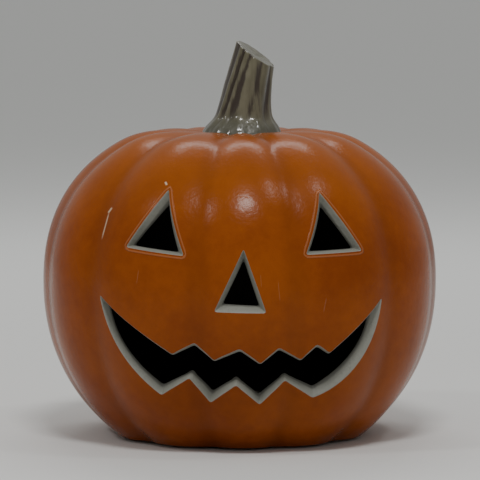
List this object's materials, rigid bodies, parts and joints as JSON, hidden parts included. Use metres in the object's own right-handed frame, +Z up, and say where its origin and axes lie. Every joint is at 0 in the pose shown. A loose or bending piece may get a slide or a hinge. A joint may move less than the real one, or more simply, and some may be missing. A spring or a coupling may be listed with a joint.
{
  "type": "pumpkin lantern",
  "caption": "Hollow ribbed ceramic pumpkin with a leaning stem, cut eyes, nose and toothed mouth, and a battery light that closes its base.",
  "frame": {"origin": "on the table plane, under the middle of the body's plan", "axes": "+Z up, face towards -Y, +X to the right seen from the front"},
  "size_m": [0.255, 0.255, 0.2548],
  "materials": {
    "orange_glaze": "mottled orange paint under a clear gloss glaze",
    "stem_glaze": "olive grey glaze with dark brown in the flutes",
    "felt": "dark wool felt",
    "foam": "closed cell foam",
    "housing_plastic": "fine textured black ABS",
    "dome_plastic": "frosted polypropylene",
    "board_green": "green solder mask",
    "screw_steel": "zinc plated",
    "spring_steel": "nickel plated",
    "brass": "turned",
    "cell_wrap": "printed film sleeve, left plain",
    "led_lens": "warm tinted epoxy",
    "chip_black": "moulded",
    "red_sleeve": "PVC",
    "black_sleeve": "PVC",
    "knob_plastic": "ribbed, light grey"
  },
  "bodies": {
    "pumpkin": {"body_shell": "orange_glaze", "stem": "stem_glaze", "foam_collar": "foam", "module_housing": "housing_plastic", "diffuser_dome": "dome_plastic", "circuit_board": "board_green", "board_screws": "screw_steel", "led_resistors": "chip_black", "contact_plus": "spring_steel", "contact_minus": "spring_steel", "contact_bridge_1": "spring_steel", "contact_bridge_2": "spring_steel", "lead_red": "red_sleeve", "lead_black": "black_sleeve", "switch_leads": "black_sleeve", "switch_body": "chip_black", "door_hinge_pin": "screw_steel", "screw_insert": "brass", "foot_pad_1": "felt", "foot_pad_2": "felt", "foot_pad_3": "felt", "foot_pad_4": "felt", "led_1": "led_lens", "battery_1": "cell_wrap", "battery_spring_1": "spring_steel", "led_2": "led_lens", "battery_2": "cell_wrap", "battery_spring_2": "spring_steel", "led_3": "led_lens", "battery_3": "cell_wrap", "battery_spring_3": "spring_steel"},
    "battery_door": {"battery_door": "housing_plastic"},
    "door_screw": {"door_screw": "screw_steel"},
    "switch_knob": {"switch_knob": "knob_plastic"}
  },
  "joints": [
    {"name": "battery_door_hinge", "type": "hinge", "parent": "pumpkin", "child": "battery_door", "pos_m": [-0.019, 0, 0.0028], "axis": [0, 1, 0], "range_deg": [0, 100]},
    {"name": "door_screw_turn", "type": "hinge", "parent": "battery_door", "child": "door_screw", "pos_m": [0.0226, 0, 0.002], "axis": [0, 0, 1], "continuous": true},
    {"name": "switch_slide", "type": "slide", "parent": "pumpkin", "child": "switch_knob", "axis": [0, 1, 0], "range_m": [0, 0.004]}
  ]
}
